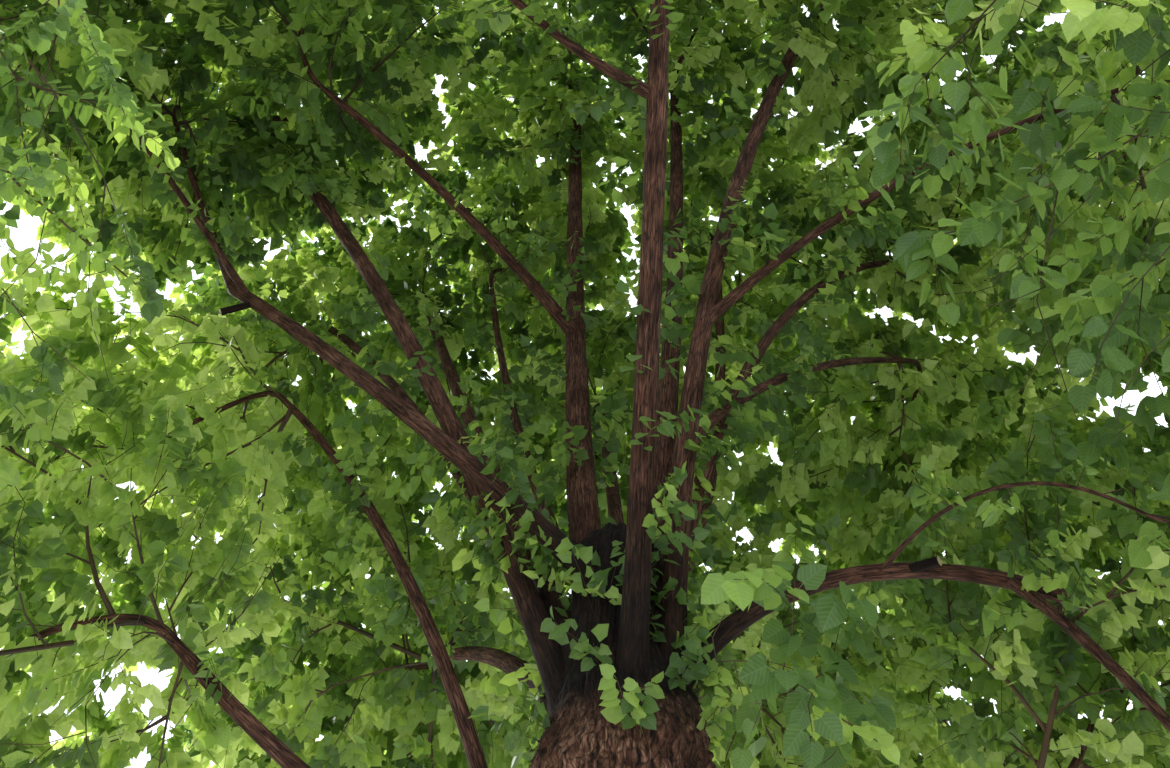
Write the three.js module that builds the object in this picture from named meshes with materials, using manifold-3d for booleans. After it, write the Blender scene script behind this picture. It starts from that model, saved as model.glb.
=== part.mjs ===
// A broad linden, or lime tree, rooted in level ground: a short trunk with a burred, swollen head where it
// was once pollarded, steep boughs that fan out of that head, and a full dome of summer foliage at their
// tips. Millimetres, Z up, origin in the flat cut at ground level. Left is -X, right is +X, front is -Y and
// rear is +Y.
import * as THREE from 'three';
import { mergeVertices } from 'three/addons/utils/BufferGeometryUtils.js';
import Module from 'manifold-3d';

const wasm = await Module();
wasm.setup();

// Clear gap between solids that meet, and what lies between two masses of foliage.
const gap = 0.3;
const stemGap = 0.35;
// Edges and steps finer than this are smoothed away where pieces are fused.
const sliver = 0.8;
const foliageMargin = 12;
const targetMargin = 60;

// Trunk: height above the ground and plain radius there, from the flat cut up to the fork.
const trunkSides = 26;
const trunkRings = [
  [0, 545], [130, 510], [320, 475], [650, 452], [1150, 436], [1750, 426], [2250, 436], [2600, 460],
  [2820, 455], [3000, 418], [3140, 360], [3300, 302], [3500, 262], [3740, 245], [3980, 230], [4150, 190],
  [4230, 110],
];
// The foot of the trunk stands a little to the left of its head.
const trunkLean = 110;
const leanHeight = 3000;
// Root flare: bearings of the buttresses in degrees, how far they stand out at the ground and how that
// fades.
const buttresses = [18, 74, 139, 202, 258, 316];
const buttressReach = 135;
const buttressSpread = 17;
const buttressFade = 270;
// Burrs of the head: bearing in degrees, height, and how far each stands out.
const burrs = [
  [208, 2640, 76], [240, 2800, 60], [300, 2960, 72], [345, 3180, 66], [350, 2700, 24], [22, 2860, 34],
  [68, 2690, 60], [118, 2860, 52], [162, 2720, 54], [276, 2440, 40], [30, 2400, 30],
];
const burrSize = 190;

// Boughs: sides round a limb and rings along it, how much thicker a foot is, and how fast that fades.
const boughSides = 7;
const boughRings = 7;
const heartSteps = 40;
const footSwelling = 0.42;
const footFade = 260;

// Each limb leaves the trunk at a bearing, a distance from its heart line and a height, or another limb at
// a share of that limb's length. It then heads for a bearing and leans from upright by a first angle at its
// foot and a second at its tip, while its bearing turns. Radii are at foot and tip. Foliage is the centre
// and the reach of the mass at its tip.
const boughs = [
  { name: 'front', seat: [286, 230, 3260], bearing: 281, lean: [26, 15], turn: 0, length: 5760,
    radius: [70, 62], foliage: [500, -2400, 10200, 2000] },
  { name: 'front_side', on: 'front', share: 0.6, bearing: 186, lean: [54, 48], turn: 45, length: 2600,
    radius: [32, 20], foliage: [-900, -4200, 8800, 1900] },
  { name: 'middle', seat: [150, 120, 3300], bearing: 101, lean: [29, -5], turn: -7, length: 7960,
    radius: [125, 60], foliage: [-700, 1800, 11300, 1900] },
  { name: 'middle_left', on: 'middle', share: 0.5, bearing: 218, lean: [51, 73], turn: 2, length: 2900,
    radius: [56, 32], foliage: [-2900, -600, 9700, 1800] },
  { name: 'left_long', seat: [250, 155, 3780], bearing: 171, lean: [42, 51], turn: 0, length: 4210,
    radius: [66, 52] },
  { name: 'left_upper', on: 'left_long', share: 1, bearing: 189, lean: [28, 24], turn: 0, length: 2200,
    radius: [34, 24], foliage: [-4200, 300, 9200, 1900] },
  { name: 'left_outer', on: 'left_long', share: 0.95, bearing: 227, lean: [47, 65], turn: 6, length: 2700,
    radius: [27, 17], foliage: [-4900, -1900, 7800, 1900] },
  { name: 'left_steep', seat: [173, 266, 3130], bearing: 167, lean: [21, 36], turn: -2, length: 7180,
    radius: [76, 54], foliage: [-3300, 1700, 10700, 1900] },
  { name: 'left_rear', seat: [195, 180, 3340], bearing: 122, lean: [37, 30], turn: 3, length: 6920,
    radius: [78, 48], foliage: [-2700, 4000, 9300, 2100] },
  { name: 'rear_slim', seat: [122, 187, 3690], bearing: 114, lean: [42, 16], turn: 7, length: 5680,
    radius: [50, 32], foliage: [-1100, 3900, 10300, 2100] },
  { name: 'left_back', seat: [174, 241, 3290], bearing: 140, lean: [30, 47], turn: -4, length: 6380,
    radius: [56, 36], foliage: [-3600, 3900, 8200, 2100] },
  { name: 'right_upright', seat: [28, 147, 3480], bearing: 61, lean: [17, 5], turn: 2, length: 7280,
    radius: [88, 55], foliage: [1100, 800, 11200, 1900] },
  { name: 'right_front', seat: [348, 266, 3100], bearing: 3, lean: [4, 25], turn: 10, length: 7000,
    radius: [78, 55], foliage: [2700, 100, 10800, 2100] },
  { name: 'right_outer', on: 'right_front', share: 0.4, bearing: 352, lean: [45, 76], turn: 0,
    length: 3900, radius: [38, 24], foliage: [4900, 0, 7200, 2000] },
  { name: 'right_rear', seat: [59, 201, 3500], bearing: 63, lean: [45, 8], turn: 12, length: 7240,
    radius: [72, 42], foliage: [1600, 3600, 10200, 2100] },
  { name: 'right_arching', seat: [18, 245, 3240], bearing: 29, lean: [9, 55], turn: 12, length: 6160,
    radius: [54, 34], foliage: [4100, 2000, 9200, 2100] },
  { name: 'right_spreading', on: 'right_front', share: 0.25, bearing: 45, lean: [41, 67], turn: -7,
    length: 3800, radius: [42, 28], foliage: [3200, 3900, 7100, 2200] },
  { name: 'right_sawn', seat: [350, 300, 3250], bearing: 17, lean: [35, 123], turn: -29, length: 2720,
    radius: [56, 46] },
  { name: 'right_low', on: 'right_sawn', share: 0.85, bearing: 273, lean: [134, 145], turn: 1, length: 1450,
    radius: [34, 24], foliage: [4500, -1500, 3700, 1700] },
  { name: 'right_shoot', on: 'right_sawn', share: 0.58, bearing: 288, lean: [76, 138], turn: -7,
    length: 2050, radius: [13, 8], foliage: [2600, -2600, 3000, 1000] },
  { name: 'low_left', seat: [190, 330, 1500], bearing: 155, lean: [15, 44], turn: 3, length: 5100,
    radius: [52, 30], foliage: [-4200, 1100, 5500, 1700] },
  { name: 'lowest_left', seat: [190, 402, 2090], bearing: 182, lean: [65, 48], turn: 9, length: 2320,
    radius: [56, 36], foliage: [-3700, -100, 3600, 1800] },
  { name: 'rear_left_low', seat: [131, 315, 3090], bearing: 118, lean: [50, 78], turn: 0, length: 3200,
    radius: [80, 45], foliage: [-2400, 4600, 5000, 2300] },
  { name: 'rear_right_low', seat: [60, 330, 3000], bearing: 72, lean: [52, 82], turn: 0, length: 3200,
    radius: [80, 45], foliage: [1500, 4800, 4700, 2300] },
  { name: 'right_rear_low', seat: [15, 380, 2300], bearing: 33, lean: [88, 66], turn: 0, length: 2750,
    radius: [74, 42], foliage: [4200, 2500, 4400, 2200] },
  { name: 'front_high_right', on: 'front', share: 0.85, bearing: 312, lean: [48, 118], turn: 0,
    length: 4000, radius: [46, 30], foliage: [2900, -4400, 7200, 2100] },
  { name: 'front_high_left', on: 'front', share: 0.775, bearing: 230, lean: [48, 118], turn: 0,
    length: 4000, radius: [46, 30], foliage: [-2900, -4300, 7000, 2100] },
  { name: 'front_hanging_right', on: 'front_high_right', share: 0.7, bearing: 345, lean: [140, 176],
    turn: 0, length: 2900, radius: [30, 20], foliage: [2500, -3200, 4200, 1700] },
  { name: 'front_hanging_left', on: 'front_high_left', share: 0.7, bearing: 190, lean: [140, 176], turn: 0,
    length: 2900, radius: [30, 20], foliage: [-3200, -3400, 4000, 1800] },
  { name: 'rear_inner', seat: [70, 188, 3470], bearing: 93, lean: [34, 42], turn: 2, length: 5400,
    radius: [68, 40], foliage: [-300, 4700, 8000, 2100] },
];
// Shoots on the burred head itself: bearing and height of their root, then their centre and reach.
const sprouts = [
  { name: 'sprouts_right', root: [325, 3200], foliage: [620, -1780, 2800, 520] },
];

// Foliage: nothing hangs lower than the skirt. Points spread evenly through each space, and a twig grows to
// each from the place on what has grown already that is near it and has a short way back to the root.
const skirt = 2050;
const evenSteps = [0.8191725134, 0.6710436067, 0.5497004779];
const pointsPerSpace = 22;
const shootsPerSprout = 12;
const seedStep = 0.38196601;
const wayBackWeight = 0.4;
const shortestTwig = 150;
const budSpacing = 260;
const stemShare = 0.62;
const stemFitShare = 0.9;
const stemEndRadius = 24;
const stemFirstShare = 0.25;
const stemKneeShare = 0.45;
const stemEndPull = 0.3;
const sproutStemRadius = 34;
const sproutSeat = 300;
const sproutRise = 0.3;
const twigRadius = 17;
const twigTipRadius = 7;
const twigFitShare = 0.85;
const goldenTurn = 137.5;

// Leaves are larger than life, because each stands for a spray of them.
const leafLengthMost = 1400;
const leafShareOfReach = 0.72;
const leafWidthShare = 0.84;
const leafThicknessShare = 0.042;
const leafWidestShift = -0.25;
const leafSunkShare = 0.2;
const leafTries = 9;
const leafLean = 0.35;
const leafLeanStep = 0.12;
const leafDip = 0.35;
const leafSkyward = 0.8;
const leafMostEdgeOn = 0.97;

const bark = new THREE.MeshStandardMaterial({ color: 0x5a4538, roughness: 0.92, metalness: 0 });
const greens = [0x5f8f35, 0x6d9c3c, 0x547f30, 0x7aa844].map(
  (color) => new THREE.MeshStandardMaterial({ color, roughness: 0.6, metalness: 0 }),
);

const radians = THREE.MathUtils.degToRad;

// Turns a closed geometry into a solid that can be cut and joined.
function solidOf(geometry) {
  geometry.deleteAttribute('normal');
  geometry.deleteAttribute('uv');
  const welded = mergeVertices(geometry, 0.001);
  return new wasm.Manifold(new wasm.Mesh({
    numProp: 3,
    vertProperties: welded.attributes.position.array,
    triVerts: new Uint32Array(welded.index.array),
  }));
}

// Keeps the largest of the separate bodies in a solid.
function largestOf(solid) {
  return solid.decompose().reduce((best, body) => (body.volume() > best.volume() ? body : best));
}

function meshOf(name, solid, material) {
  const { vertProperties, triVerts } = solid.getMesh();
  const geometry = new THREE.BufferGeometry();
  geometry.setAttribute('position', new THREE.BufferAttribute(vertProperties, 3));
  geometry.setIndex(new THREE.BufferAttribute(triVerts, 1));
  geometry.computeVertexNormals();
  const mesh = new THREE.Mesh(geometry, material);
  mesh.name = name;
  return mesh;
}

// Bends a cylinder so that its rings stand on the given points, each with its own radius.
function tube(points, radii, sides, growth = 0) {
  const last = points.length - 1;
  const ways = points.map((_, i) => points[Math.min(i + 1, last)].clone()
    .sub(points[Math.max(i - 1, 0)]).normalize());
  const aside = Math.abs(ways[0].z) < 0.8 ? new THREE.Vector3(0, 0, 1) : new THREE.Vector3(1, 0, 0);
  const across = [];
  ways.forEach((way, i) => {
    const before = i ? across[i - 1] : aside;
    across.push(before.clone().addScaledVector(way, -before.dot(way)).normalize());
  });
  const geometry = new THREE.CylinderGeometry(1, 1, 1, sides, last);
  const { position } = geometry.attributes;
  for (let v = 0; v < position.count; v += 1) {
    const ring = Math.round((position.getY(v) + 0.5) * last);
    const reach = radii[ring] + growth;
    const beyond = ring === last ? growth : ring === 0 ? -growth : 0;
    const up = across[ring].clone().cross(ways[ring]);
    const place = points[ring].clone()
      .addScaledVector(across[ring], position.getX(v) * reach)
      .addScaledVector(up, position.getZ(v) * reach)
      .addScaledVector(ways[ring], beyond);
    position.setXYZ(v, place.x, place.y, place.z);
  }
  return solidOf(geometry);
}

function turnBetween(a, b) {
  return ((a - b + 540) % 360) - 180;
}

// Distance from the trunk's heart line to its bark.
function trunkRadius(bearing, height, plain) {
  const fade = buttressReach * Math.exp(-height / buttressFade);
  const flare = buttresses.reduce(
    (sum, foot) => sum + fade * Math.exp(-((turnBetween(bearing, foot) / buttressSpread) ** 2)), 0);
  const burred = burrs.reduce((sum, [side, level, rise]) => {
    const round = radians(turnBetween(bearing, side)) * plain;
    return sum + rise * Math.exp(-(round ** 2 + (height - level) ** 2) / burrSize ** 2);
  }, 0);
  return plain + flare + burred;
}

function trunkHeart(height) {
  return -trunkLean * Math.max(0, 1 - height / leanHeight) ** 2;
}

function trunkSolid(growth = 0) {
  const last = trunkRings.length - 1;
  const geometry = new THREE.CylinderGeometry(1, 1, 1, trunkSides, last);
  const { position } = geometry.attributes;
  for (let v = 0; v < position.count; v += 1) {
    const ring = Math.round((position.getY(v) + 0.5) * last);
    const [height, plain] = trunkRings[ring];
    const x = position.getX(v);
    const y = -position.getZ(v);
    const share = Math.hypot(x, y);
    const bearing = THREE.MathUtils.radToDeg(Math.atan2(y, x));
    const reach = share > 0.5 ? trunkRadius(bearing, height, plain) + growth : 0;
    const level = height + (ring === last ? growth : 0);
    position.setXYZ(v, trunkHeart(height) + x * reach, y * reach, level);
  }
  return solidOf(geometry);
}

// Heart line of a limb, in even steps from its seat.
function heartLine(limb, start) {
  const line = [start];
  const step = limb.length / heartSteps;
  for (let i = 0; i < heartSteps; i += 1) {
    const share = (i + 0.5) / heartSteps;
    const lean = radians(THREE.MathUtils.lerp(limb.lean[0], limb.lean[1], share));
    const heading = radians(limb.bearing + limb.turn * share);
    const way = new THREE.Vector3(
      Math.sin(lean) * Math.cos(heading), Math.sin(lean) * Math.sin(heading), Math.cos(lean));
    line.push(line[i].clone().addScaledVector(way, step));
  }
  return line;
}

function limbRadius(limb, share) {
  const plain = THREE.MathUtils.lerp(limb.radius[0], limb.radius[1], share);
  return plain * (1 + footSwelling * Math.exp((-share * limb.length) / footFade));
}

const ringShares = Array.from({ length: boughRings }, (_, i) => i / (boughRings - 1));

function limbTube(limb, growth = 0) {
  return tube(limb.rings, ringShares.map((share) => limbRadius(limb, share)), boughSides, growth);
}

const trunk = trunkSolid();
let taken = trunkSolid(gap);
const limbs = new Map();
boughs.forEach((limb) => {
  if (limb.on) {
    limb.start = limbs.get(limb.on).line[Math.round(limb.share * heartSteps)];
  } else {
    const [side, out, height] = limb.seat;
    limb.start = new THREE.Vector3(Math.cos(radians(side)) * out, Math.sin(radians(side)) * out, height);
  }
  limb.line = heartLine(limb, limb.start);
  limb.rings = ringShares.map((share) => limb.line[Math.round(share * heartSteps)]);
  limb.solid = largestOf(limbTube(limb).subtract(taken));
  taken = taken.add(limbTube(limb, gap));
  limbs.set(limb.name, limb);
});

// Every mass of foliage: where its stem starts, which way it sets off, and the space it may fill.
const masses = [];
boughs.filter((limb) => limb.foliage).forEach((limb) => {
  const [before, tip] = limb.rings.slice(-2);
  const way = tip.clone().sub(before).normalize();
  masses.push({
    name: `foliage_${limb.name}`, foliage: limb.foliage, way, thick: limb.radius[1] * stemFitShare,
    points: pointsPerSpace,
    root: tip.clone().addScaledVector(way, stemGap),
  });
});
sprouts.forEach(({ name, root, foliage }) => {
  const [side, height] = root;
  const out = new THREE.Vector3(Math.cos(radians(side)), Math.sin(radians(side)), 0);
  const way = out.clone().setZ(sproutRise).normalize();
  const start = out.clone().multiplyScalar(sproutSeat).setZ(height);
  masses.push({
    name, foliage, way, thick: sproutStemRadius, root: start, points: shootsPerSprout, rooted: true,
  });
});
masses.forEach((mass, i) => {
  mass.centre = new THREE.Vector3(...mass.foliage.slice(0, 3));
  mass.reach = mass.foliage[3];
  mass.seed = (i + 1) * seedStep;
});

// A point is in a mass's space when it is within reach, above the skirt and on its side of every neighbour.
function inSpace(mass, point, margin) {
  if (point.distanceTo(mass.centre) > mass.reach - margin || point.z < skirt + margin) return false;
  const own = point.distanceToSquared(mass.centre) - mass.reach ** 2;
  return masses.every((other) => {
    if (other === mass) return true;
    const theirs = point.distanceToSquared(other.centre) - other.reach ** 2;
    return theirs - own > 2 * margin * mass.centre.distanceTo(other.centre);
  });
}

// The stem runs from its root most of the way to the middle of the space.
function stemOf(mass) {
  const span = mass.centre.clone().sub(mass.root);
  const long = span.length();
  const bend = mass.root.clone().addScaledVector(mass.way, long * stemFirstShare);
  const knee = bend.clone().lerp(mass.centre, stemKneeShare);
  const end = mass.root.clone().addScaledVector(span, stemShare).lerp(mass.centre, stemEndPull);
  const points = [mass.root, bend, knee, end];
  const radii = points.map((_, i) => THREE.MathUtils.lerp(mass.thick, stemEndRadius, i / 3));
  const solid = tube(points, radii, 3);
  return { points, radii, solid: mass.rooted ? largestOf(solid.subtract(taken)) : solid };
}

masses.forEach((mass) => Object.assign(mass, { stem: stemOf(mass) }));

// A leaf is a thin eight-sided blade, widest near its root, which is sunk into the twig.
function leafSolid(root, along, face, long) {
  const side = face.clone().cross(along).normalize();
  const normal = along.clone().cross(side).normalize();
  const geometry = new THREE.OctahedronGeometry(1);
  const { position } = geometry.attributes;
  for (let v = 0; v < position.count; v += 1) {
    const across = position.getY(v);
    position.setX(v, position.getX(v) + Math.abs(across) * leafWidestShift);
  }
  geometry.scale(long / 2, (long * leafWidthShare) / 2, (long * leafThicknessShare) / 2);
  const centre = root.clone().addScaledVector(along, long * (0.5 - leafSunkShare));
  geometry.applyMatrix4(new THREE.Matrix4().makeBasis(along, side, normal).setPosition(centre));
  const corners = Array.from(
    { length: position.count }, (_, v) => new THREE.Vector3().fromBufferAttribute(position, v));
  return { corners, solid: solidOf(geometry) };
}

// Tries a leaf at a twig's tip in ways that turn by the golden angle, and gives the first that fits.
function fitLeaf(mass, tip, way, count, keepOff) {
  const outward = tip.clone().sub(mass.centre).normalize();
  const long = Math.min(leafLengthMost, mass.reach * leafShareOfReach);
  for (let i = 0; i < leafTries; i += 1) {
    const turn = radians(goldenTurn * (count + i));
    const lean = leafLean + leafLeanStep * i;
    const aside = new THREE.Vector3(Math.cos(turn), Math.sin(turn), leafDip * (Math.sin(2 * turn) - 0.6));
    const along = way.clone().add(outward).normalize().lerp(aside.normalize(), lean).normalize();
    const face = outward.clone().add(new THREE.Vector3(0, 0, leafSkyward)).normalize();
    if (Math.abs(face.dot(along)) < leafMostEdgeOn) {
      const leaf = leafSolid(tip, along, face, long);
      const fits = leaf.corners.every((corner) => inSpace(mass, corner, foliageMargin));
      if (fits && leaf.solid.intersect(keepOff).isEmpty()) return leaf.solid;
    }
  }
  return null;
}

// Places a stretch of twig or stem where later twigs may start, evenly between its ends.
function budsAlong(from, to, back, thick) {
  const span = from.distanceTo(to);
  const count = Math.floor(span / budSpacing);
  return Array.from({ length: count }, (_, i) => {
    const share = (i + 1) / (count + 1);
    const here = THREE.MathUtils.lerp(thick[0], thick[1], share);
    return { point: from.clone().lerp(to, share), back: back + span * share, thick: here };
  });
}

// Grows the twigs and leaves of one mass from its stem. Each bud bears one twig.
function growMass(mass, keepOff) {
  const { points, radii } = mass.stem;
  const buds = [];
  let back = 0;
  points.slice(1).forEach((point, i) => {
    buds.push(...budsAlong(points[i], point, back, [radii[i], radii[i + 1]]));
    back += point.distanceTo(points[i]);
  });
  buds.push({ point: points.at(-1), back, thick: radii.at(-1) });
  const twigs = [mass.stem.solid];
  const leaves = [];
  for (let count = 1; count <= mass.points; count += 1) {
    const [x, y, z] = evenSteps.map((step) => 2 * ((mass.seed + step * count) % 1) - 1);
    const target = new THREE.Vector3(x, y, z).multiplyScalar(mass.reach).add(mass.centre);
    const cost = (bud) => bud.point.distanceTo(target) + wayBackWeight * bud.back;
    const bud = buds.reduce((best, other) => (cost(other) < cost(best) ? other : best));
    const span = bud.point.distanceTo(target);
    if (span > shortestTwig && inSpace(mass, target, targetMargin)) {
      const thick = Math.min(twigRadius, bud.thick * twigFitShare);
      const twig = tube([bud.point, target], [thick, twigTipRadius], 3);
      if (twig.intersect(wasm.Manifold.union([keepOff, ...leaves])).isEmpty()) {
        const others = wasm.Manifold.union([keepOff, ...twigs, ...leaves]);
        const way = target.clone().sub(bud.point).normalize();
        const leaf = fitLeaf(mass, target, way, count, others);
        twigs.push(twig);
        if (leaf) leaves.push(leaf);
        buds.splice(buds.indexOf(bud), 1);
        buds.push(...budsAlong(bud.point, target, bud.back, [thick, twigTipRadius]));
      }
    }
  }
  return largestOf(wasm.Manifold.union([...twigs, ...leaves]).simplify(sliver));
}

const tree = new THREE.Group();
tree.add(meshOf('trunk', trunk, bark));
boughs.forEach((limb) => tree.add(meshOf(`bough_${limb.name}`, limb.solid, bark)));
masses.forEach((mass, i) => {
  const others = masses.filter((other) => other !== mass).map((other) => other.stem.solid);
  const keepOff = wasm.Manifold.union([taken, ...others]);
  tree.add(meshOf(mass.name, growMass(mass, keepOff), greens[i % greens.length]));
});

export default tree;
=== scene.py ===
# %% [markdown]
# A broad linden tree in summer, looked up at from under its crown. A short trunk ends in a burred, swollen
# head, steep boughs fan out of that head, and their tips carry masses of foliage that meet in one dome. The
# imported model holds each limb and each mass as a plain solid. This lesson loads it as a fixed frame and
# grows the bark, the twigs and the leaves where those solids are, in metres, with Z up.

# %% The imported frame
import math

import bmesh
import bpy
import numpy as np
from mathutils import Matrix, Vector, noise


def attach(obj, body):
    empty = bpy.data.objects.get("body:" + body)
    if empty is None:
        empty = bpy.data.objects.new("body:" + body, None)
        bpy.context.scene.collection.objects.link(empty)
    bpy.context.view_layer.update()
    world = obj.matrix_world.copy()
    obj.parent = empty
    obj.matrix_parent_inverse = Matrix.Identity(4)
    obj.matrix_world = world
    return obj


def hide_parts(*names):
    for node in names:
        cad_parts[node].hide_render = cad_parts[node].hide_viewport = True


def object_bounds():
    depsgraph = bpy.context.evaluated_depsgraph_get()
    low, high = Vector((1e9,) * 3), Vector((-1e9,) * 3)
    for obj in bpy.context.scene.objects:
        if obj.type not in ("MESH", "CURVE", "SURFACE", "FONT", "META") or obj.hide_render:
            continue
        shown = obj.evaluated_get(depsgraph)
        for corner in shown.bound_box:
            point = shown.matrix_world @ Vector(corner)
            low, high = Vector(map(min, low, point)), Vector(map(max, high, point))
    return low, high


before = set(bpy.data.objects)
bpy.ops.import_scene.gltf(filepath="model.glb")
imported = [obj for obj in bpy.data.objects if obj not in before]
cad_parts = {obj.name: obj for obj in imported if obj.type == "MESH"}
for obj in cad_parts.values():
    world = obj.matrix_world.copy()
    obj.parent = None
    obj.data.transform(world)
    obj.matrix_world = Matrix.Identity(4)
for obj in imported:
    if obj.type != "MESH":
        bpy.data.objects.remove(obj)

cad_low, cad_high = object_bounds()
print("the solids reach from", tuple(cad_low), "to", tuple(cad_high))

# %% [markdown]
# Every chance in a plant made by a script has to fall the same way each time, so all jitter here comes from
# one generator with a fixed seed. Colours are written as the hex values that a picture shows, and one
# function turns them into the linear light that Blender mixes.

# %% Chance and colour
CHANCE_SEED = 2024
chance = np.random.default_rng(CHANCE_SEED)
print("chance starts from", CHANCE_SEED)


def linear(hex_colour):
    """Turns an sRGB hex value into linear red, green, blue and a full alpha."""
    parts = [int(hex_colour[i:i + 2], 16) / 255 for i in (0, 2, 4)]
    return [c / 12.92 if c <= 0.04045 else ((c + 0.055) / 1.055) ** 2.4 for c in parts] + [1.0]


def lerp(a, b, share):
    return a + (b - a) * share


def unit(v):
    """Vectors of length one, along the last axis of an array."""
    return v / np.maximum(np.linalg.norm(v, axis=-1, keepdims=True), 1e-9)


# %% [markdown]
# The photograph looks steeply up from under the crown, past the trunk. How fast the boughs converge gives
# the lens and the tilt, and the size of leaves nearby gives the distance. So the camera is set 5 m in front
# of the trunk, at eye height.

# %% Camera at the photograph's place
EYE_DISTANCE, EYE_HEIGHT = 5.0, 1.6
LOOK_UP, LOOK_LEFT = 37.0, 2.2
LENS_MM, SENSOR_MM = 28.03, 36.0
FARTHEST_SEEN = 400.0
eye = Vector((0.0, -EYE_DISTANCE, EYE_HEIGHT))
camera_data = bpy.data.cameras.new("eye_level_camera")
camera_data.lens = LENS_MM
camera_data.sensor_width = SENSOR_MM
camera_data.clip_end = FARTHEST_SEEN
camera = bpy.data.objects.new("eye_level_camera", camera_data)
camera.location = eye
camera.rotation_euler = (math.pi / 2 + math.radians(LOOK_UP), 0.0, math.radians(LOOK_LEFT))
bpy.context.scene.collection.objects.link(camera)
bpy.context.scene.camera = camera
print("camera at", tuple(eye), "with a lens of", camera_data.lens, "mm")

# %% [markdown]
# Each limb is one tapering line. It leaves the trunk at a bearing, a distance from its heart and a height,
# or another limb at a share of that limb's length. It heads for a bearing and leans from upright by a first
# angle at its foot and a second at its tip, while its bearing turns. These are the same values as in the
# part's source, in metres and degrees, so that each bark mesh lies where its solid is. Space is the centre
# and the reach of the foliage at the limb's tip, and a limb that bears none of its own has no space.

# %% Limbs and the spaces of their foliage
LIMB_FIELDS = ("name", "foot", "bearing", "lean", "turn", "length", "radius", "space")
LIMB_ROWS = [
    ("front", (286, 0.23, 3.26), 281, (26, 15), 0, 5.76, (0.07, 0.062), (0.5, -2.4, 10.2, 2.0)),
    ("front_side", ("front", 0.6), 186, (54, 48), 45, 2.6, (0.032, 0.02), (-0.9, -4.2, 8.8, 1.9)),
    ("middle", (150, 0.12, 3.3), 101, (29, -5), -7, 7.96, (0.125, 0.06), (-0.7, 1.8, 11.3, 1.9)),
    ("middle_left", ("middle", 0.5), 218, (51, 73), 2, 2.9, (0.056, 0.032), (-2.9, -0.6, 9.7, 1.8)),
    ("left_long", (250, 0.155, 3.78), 171, (42, 51), 0, 4.21, (0.066, 0.052)),
    ("left_upper", ("left_long", 1), 189, (28, 24), 0, 2.2, (0.034, 0.024), (-4.2, 0.3, 9.2, 1.9)),
    ("left_outer", ("left_long", 0.95), 227, (47, 65), 6, 2.7, (0.027, 0.017), (-4.9, -1.9, 7.8, 1.9)),
    ("left_steep", (173, 0.266, 3.13), 167, (21, 36), -2, 7.18, (0.076, 0.054), (-3.3, 1.7, 10.7, 1.9)),
    ("left_rear", (195, 0.18, 3.34), 122, (37, 30), 3, 6.92, (0.078, 0.048), (-2.7, 4.0, 9.3, 2.1)),
    ("rear_slim", (122, 0.187, 3.69), 114, (42, 16), 7, 5.68, (0.05, 0.032), (-1.1, 3.9, 10.3, 2.1)),
    ("left_back", (174, 0.241, 3.29), 140, (30, 47), -4, 6.38, (0.056, 0.036), (-3.6, 3.9, 8.2, 2.1)),
    ("right_upright", (28, 0.147, 3.48), 61, (17, 5), 2, 7.28, (0.088, 0.055), (1.1, 0.8, 11.2, 1.9)),
    ("right_front", (348, 0.266, 3.1), 3, (4, 25), 10, 7.0, (0.078, 0.055), (2.7, 0.1, 10.8, 2.1)),
    ("right_outer", ("right_front", 0.4), 352, (45, 76), 0, 3.9, (0.038, 0.024), (4.9, 0.0, 7.2, 2.0)),
    ("right_rear", (59, 0.201, 3.5), 63, (45, 8), 12, 7.24, (0.072, 0.042), (1.6, 3.6, 10.2, 2.1)),
    ("right_arching", (18, 0.245, 3.24), 29, (9, 55), 12, 6.16, (0.054, 0.034), (4.1, 2.0, 9.2, 2.1)),
    ("right_spreading", ("right_front", 0.25), 45, (41, 67), -7, 3.8, (0.042, 0.028), (3.2, 3.9, 7.1, 2.2)),
    ("right_sawn", (350, 0.3, 3.25), 17, (35, 123), -29, 2.72, (0.056, 0.046)),
    ("right_low", ("right_sawn", 0.85), 273, (134, 145), 1, 1.45, (0.034, 0.024), (4.5, -1.5, 3.7, 1.7)),
    ("right_shoot", ("right_sawn", 0.58), 288, (76, 138), -7, 2.05, (0.013, 0.008), (2.6, -2.6, 3.0, 1.0)),
    ("low_left", (190, 0.33, 1.5), 155, (15, 44), 3, 5.1, (0.052, 0.03), (-4.2, 1.1, 5.5, 1.7)),
    ("lowest_left", (190, 0.402, 2.09), 182, (65, 48), 9, 2.32, (0.056, 0.036), (-3.7, -0.1, 3.6, 1.8)),
    ("rear_left_low", (131, 0.315, 3.09), 118, (50, 78), 0, 3.2, (0.08, 0.045), (-2.4, 4.6, 5.0, 2.3)),
    ("rear_right_low", (60, 0.33, 3.0), 72, (52, 82), 0, 3.2, (0.08, 0.045), (1.5, 4.8, 4.7, 2.3)),
    ("right_rear_low", (15, 0.38, 2.3), 33, (88, 66), 0, 2.75, (0.074, 0.042), (4.2, 2.5, 4.4, 2.2)),
    ("front_high_right", ("front", 0.85), 312, (48, 118), 0, 4.0, (0.046, 0.03), (2.9, -4.4, 7.2, 2.1)),
    ("front_high_left", ("front", 0.775), 230, (48, 118), 0, 4.0, (0.046, 0.03), (-2.9, -4.3, 7.0, 2.1)),
    ("front_hanging_right", ("front_high_right", 0.7), 345, (140, 176), 0, 2.9, (0.03, 0.02),
     (2.5, -3.2, 4.2, 1.7)),
    ("front_hanging_left", ("front_high_left", 0.7), 190, (140, 176), 0, 2.9, (0.03, 0.02),
     (-3.2, -3.4, 4.0, 1.8)),
    ("rear_inner", (70, 0.188, 3.47), 93, (34, 42), 2, 5.4, (0.068, 0.04), (-0.3, 4.7, 8.0, 2.1)),
]
LIMBS = [dict(zip(LIMB_FIELDS, row)) for row in LIMB_ROWS]
for limb in LIMBS:
    foot = limb.pop("foot")
    limb["on" if isinstance(foot[0], str) else "seat"] = foot
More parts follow.
